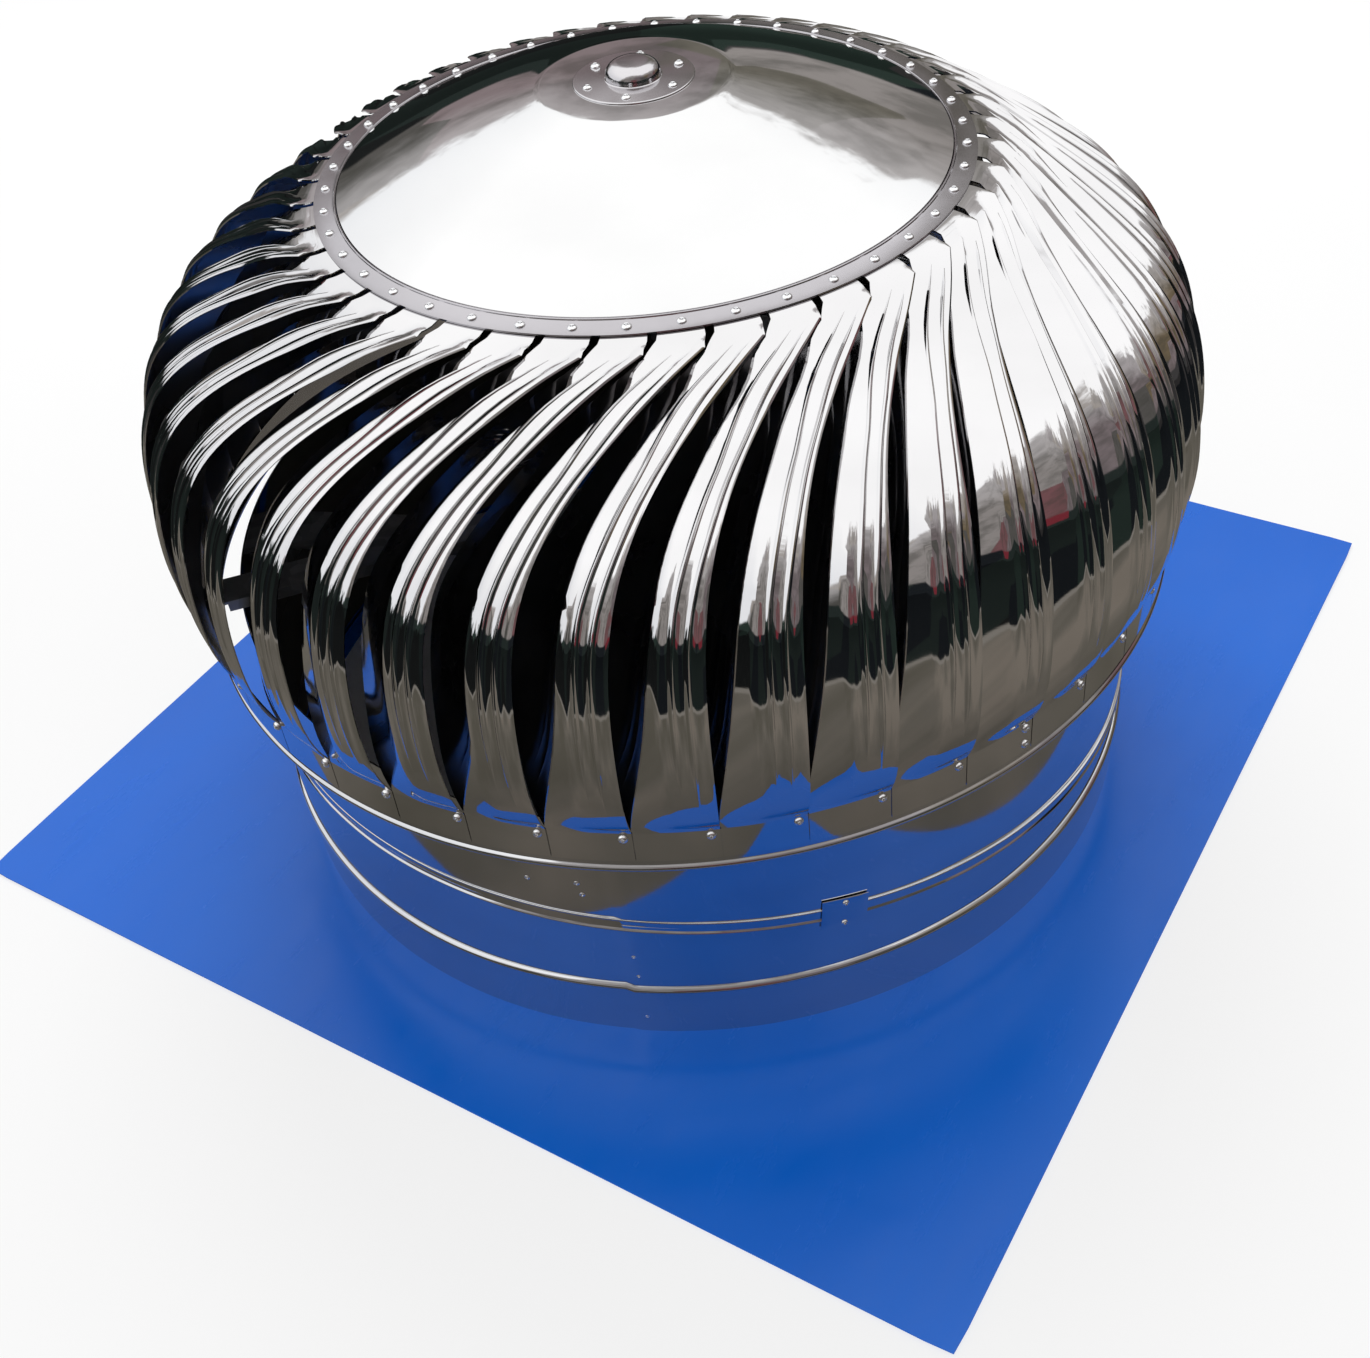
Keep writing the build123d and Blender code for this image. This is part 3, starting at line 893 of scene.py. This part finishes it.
def buildVane(k):
    rows = vaneRows(random.Random(100 + k))
    high, wide = len(rows), len(rows[0])
    points = [p for row in rows for p in row]
    for i in range(high):
        for j in range(wide):
            up = rows[min(i + 1, high - 1)][j] - rows[max(i - 1, 0)][j]
            left = rows[i][min(j + 1, wide - 1)] - rows[i][max(j - 1, 0)]
            points.append(rows[i][j] - up.cross(left).normalized() * vane["thick"])
    back = high * wide
    faces, slots = [], []

    def quad(a, b, c, d, which):
        faces.append((a, b, c, d))
        slots.append(which)

    for i in range(high - 1):
        for j in range(wide - 1):
            a, b = i * wide + j, (i + 1) * wide + j
            quad(a, b, b + 1, a + 1, 0)
            quad(back + a + 1, back + b + 1, back + b, back + a, 1)
        for j, flip in ((0, False), (wide - 1, True)):
            a, b = i * wide + j, (i + 1) * wide + j
            ring = (a, back + a, back + b, b)
            quad(*(ring[::-1] if flip else ring), 0)
    for i, flip in ((0, True), (high - 1, False)):
        for j in range(wide - 1):
            a = i * wide + j
            ring = (a, back + a, back + a + 1, a + 1)
            quad(*(ring[::-1] if flip else ring), 0)
    turn = Matrix.Rotation(math.radians(k * pitch), 3, "Z")
    points = [turn @ p for p in points]
    name = "vane%02d" % (k + 1)
    # slot 1, the back faces, takes the sheet darkened with painted shade
    return makePiece(name, points, faces, [vaneSteel, vaneBackShaded], 30, slots)


for k in range(vaneCount):
    attach(buildVane(k), "rotor", "vane_sheet", "vane_%02d" % (k + 1))

vaneRivets = {"footBack": 0.9, "headBack": 2.4, "footZ": 206.5 * mm, "lapZ": 194 * mm, "lapVane": 5}


def footRivet(k, z):
    az = vane["azimuth"] - vaneRivets["footBack"] + k * pitch
    return polar(footR + 0.1 * mm, az, z), polar(1, az, 0)


headRivets, footRivets = [], []
for k in range(vaneCount):
    az = vane["azimuth"] + vane["sweep"] - vaneRivets["headBack"] + k * pitch
    headRivets.append((polar(rim["rivets"], az, rimZ(rim["rivets"])), (0, 0, 1)))
    footRivets.append(footRivet(k, vaneRivets["footZ"]))
footRivets.append(footRivet(vaneRivets["lapVane"], vaneRivets["lapZ"]))  # second rivet at the ring's lap
attach(rivetField("headRivets", headRivets, 6), "rotor", "rim_sheet")
attach(rivetField("footRivets", footRivets, 7), "rotor", "vane_sheet")
print("vanes built:", vaneCount)


studio = {"floorSide": 60.0, "skyDiffuse": 0.72, "skyGlossy": 1.45}
footprint = 310 * mm        # inside this radius the floor lies under the open duct
view = {"turn": 35.8, "elevation": 42.97, "roll": -7.05, "distance": 1301 * mm,
        "shiftRight": -12.9 * mm, "shiftUp": 17.4 * mm, "lens": 45.03}
viewTurn = math.radians(view["turn"])

# height of the surroundings that polished metal sees (sine of elevation), by azimuth in degrees
skylineLevels = [(0, 0.60), (25, 0.52), (62, 0.56), (88, 0.62), (108, 0.40), (130, 0.20), (152, 0.06),
                 (205, 0.08), (232, 0.74), (258, 0.90), (292, 0.84), (325, 0.70), (360, 0.60)]
carTones = [
    (0.0, (0.010, 0.011, 0.011)), (0.26, (0.016, 0.022, 0.020)), (0.44, (0.020, 0.031, 0.026)),
    (0.54, (0.010, 0.012, 0.014)), (0.70, (0.018, 0.024, 0.048)), (0.82, (0.045, 0.043, 0.043)),
    (0.96, (0.15, 0.022, 0.030)),
]
wallTones = [
    (0.0, (0.15, 0.115, 0.070)), (0.2, (0.17, 0.14, 0.145)), (0.38, (0.085, 0.080, 0.075)),
    (0.52, (0.25, 0.23, 0.22)), (0.66, (0.13, 0.12, 0.10)), (0.8, (0.20, 0.16, 0.165)),
    (0.95, (0.16, 0.075, 0.08)),
]


def buildFloor():
    # pale to the eye; polished metal sees the yard around it, with dark shapes further out
    ground = Finish("paleFloor")
    ground.nodes.remove(ground.shader)
    half = studio["floorSide"] / 2
    spots = [(-half, -half, 0), (half, -half, 0), (half, half, 0), (-half, half, 0)]
    floor = makePiece("studioFloor", spots, [(0, 1, 2, 3)], [ground.material])
    grain = ground.cloud(2.2, 4)
    pale = ground.node("ShaderNodeBsdfDiffuse", Color=ground.ramp(grain, (0.3, 0.90), (0.7, 0.93)))
    white = ground.node("ShaderNodeEmission", Color=(1, 1, 1, 1), Strength=1.0)
    earth = ground.ramp(grain, (0.38, (0.125, 0.115, 0.092)), (0.5, (0.17, 0.155, 0.13)),
                        (0.62, (0.24, 0.21, 0.175)))
    spread = ground.node("ShaderNodeSeparateXYZ", Vector=ground.place)
    across, along = spread.outputs["X"], spread.outputs["Y"]
    squares = [ground.math("MULTIPLY", value, value) for value in (across, along)]
    away = ground.math("SQRT", ground.math("ADD", *squares))
    outside = ground.step(away, footprint - 2 * mm, footprint)
    glow = ground.math("MULTIPLY_ADD", ground.step(away, 1.0, 5.0), 0.32, 0.68)
    seen = ground.choose(ground.math("MULTIPLY", outside, glow), pale.outputs[0], white.outputs[0])
    around = ground.math("ARCTAN2", along, across)
    away = ground.math("ADD", away, ground.math("MULTIPLY", ground.cloud(1.1, 2), 0.4))
    kerb = ground.mix(ground.step(away, 1.10, 1.12), earth, (0.27, 0.25, 0.22))
    unrolled = ground.node("ShaderNodeCombineXYZ", X=around, Y=ground.math("DIVIDE", -0.3, away)).outputs[0]
    dark = ground.ramp(ground.panels(unrolled, 2.7), *carTones, hard=True)
    tone = ground.mix(ground.step(away, 1.14, 1.16), kerb, dark)
    yard = ground.node("ShaderNodeBsdfDiffuse", Color=tone)
    shown = ground.choose(ground.seenInMetal(), seen, yard.outputs[0])
    ground.links.new(shown, ground.output.inputs[0])
    floor.location.z = -0.2 * mm


def buildSky():
    # white to the camera and even on matt paint; metal sees a bright sky over near walls and cars
    world = bpy.data.worlds.new("openSky")
    scene.world = world
    world.use_nodes = True
    sky = Graph(world.node_tree)
    way = sky.node("ShaderNodeTexCoord").outputs["Generated"]
    parts = sky.node("ShaderNodeSeparateXYZ", Vector=way)
    height = parts.outputs["Z"]
    around = sky.math("ARCTAN2", parts.outputs["Y"], parts.outputs["X"])
    leaves = sky.node("ShaderNodeTexNoise", Vector=way, Scale=9.0, Detail=5.0, Roughness=0.65).outputs["Fac"]
    roofs = sky.blocks(around, 1.35)
    turned = sky.math("DIVIDE", sky.math("SUBTRACT", around, viewTurn), 2 * math.pi)
    turned = sky.math("FRACT", sky.math("ADD", turned, 1.0))
    level = sky.ramp(turned, *[(azimuth / 360, share) for azimuth, share in skylineLevels])
    skyline = sky.math("ADD", level, sky.math("MULTIPLY", sky.math("SUBTRACT", roofs, 0.5), 0.10))
    skyline = sky.math("ADD", skyline, sky.math("MULTIPLY", sky.math("SUBTRACT", leaves, 0.5), 0.30))
    above = sky.step(sky.math("SUBTRACT", height, skyline), -0.03, 0.04)
    bright = sky.ramp(height, (0.3, (0.80, 0.81, 0.83)), (0.7, (1.0, 1.0, 1.0)))
    unrolled = sky.node("ShaderNodeCombineXYZ", X=around, Y=height).outputs[0]
    walls = sky.ramp(sky.panels(unrolled, 2.4), *wallTones, hard=True)
    walls = sky.mix(sky.ramp(leaves, (0.42, 0.0), (0.6, 0.5)), walls, (0.045, 0.045, 0.038))
    haze = sky.step(sky.math("SUBTRACT", skyline, height), 0.30, 0.0)
    walls = sky.mix(sky.math("MULTIPLY", haze, 0.55), walls, (0.55, 0.53, 0.53))
    cars = sky.ramp(sky.panels(unrolled, 2.7), *carTones, hard=True)
    near = sky.mix(sky.step(height, 0.07, 0.09), cars, walls)
    outdoors = sky.mix(above, near, bright)
    rays = sky.node("ShaderNodeLightPath")
    plain = sky.node("ShaderNodeBackground", Color=(1, 1, 1, 1), Strength=studio["skyDiffuse"])
    white = sky.node("ShaderNodeBackground", Color=(1, 1, 1, 1), Strength=1.0)
    metal = sky.node("ShaderNodeBackground", Color=outdoors, Strength=studio["skyGlossy"])
    shown = sky.choose(rays.outputs["Is Camera Ray"], plain.outputs[0], white.outputs[0])
    shown = sky.choose(sky.seenInMetal(), shown, metal.outputs[0])
    sky.links.new(shown, sky.node("ShaderNodeOutputWorld").inputs[0])


lamps = {   # place and size in metres, power in watts
    "keyLamp": {"spot": (-1.0, 1.4, 2.4), "size": 1.6, "power": 34},
    "fillLamp": {"spot": (2.2, -0.8, 2.0), "size": 2.0, "power": 8},
}
lampAim = Vector((0, 0, 0.2))


def addLamp(name, spot, size, power):
    light = bpy.data.lights.new(name, "AREA")
    light.shape = "DISK"
    light.size = size
    light.energy = power
    lamp = bpy.data.objects.new(name, light)
    scene.collection.objects.link(lamp)
    lamp.location = spot
    lamp.rotation_euler = (lampAim - Vector(spot)).to_track_quat("-Z", "Y").to_euler()
    lamp.visible_glossy = False


def addCamera():
    e, roll = math.radians(view["elevation"]), math.radians(view["roll"])
    back = Vector((0, -math.cos(e), math.sin(e)))
    right, up = Vector((1, 0, 0)), Vector((0, math.sin(e), math.cos(e)))
    spot = back * view["distance"] + right * view["shiftRight"] + up * view["shiftUp"]
    turnedRight = right * math.cos(roll) + up * math.sin(roll)
    turnedUp = up * math.cos(roll) - right * math.sin(roll)
    place = Matrix((turnedRight, turnedUp, back)).transposed().to_4x4()
    place.translation = spot
    data = bpy.data.cameras.new("camera")
    data.lens = view["lens"]
    data.sensor_width = 36
    camera = bpy.data.objects.new("camera", data)
    scene.collection.objects.link(camera)
    camera.matrix_world = Matrix.Rotation(viewTurn, 4, "Z") @ place
    scene.camera = camera


buildFloor()
buildSky()
for name, settings in lamps.items():
    addLamp(name, **settings)
addCamera()
scene.view_settings.view_transform = "Standard"
print("stage, light and camera set")
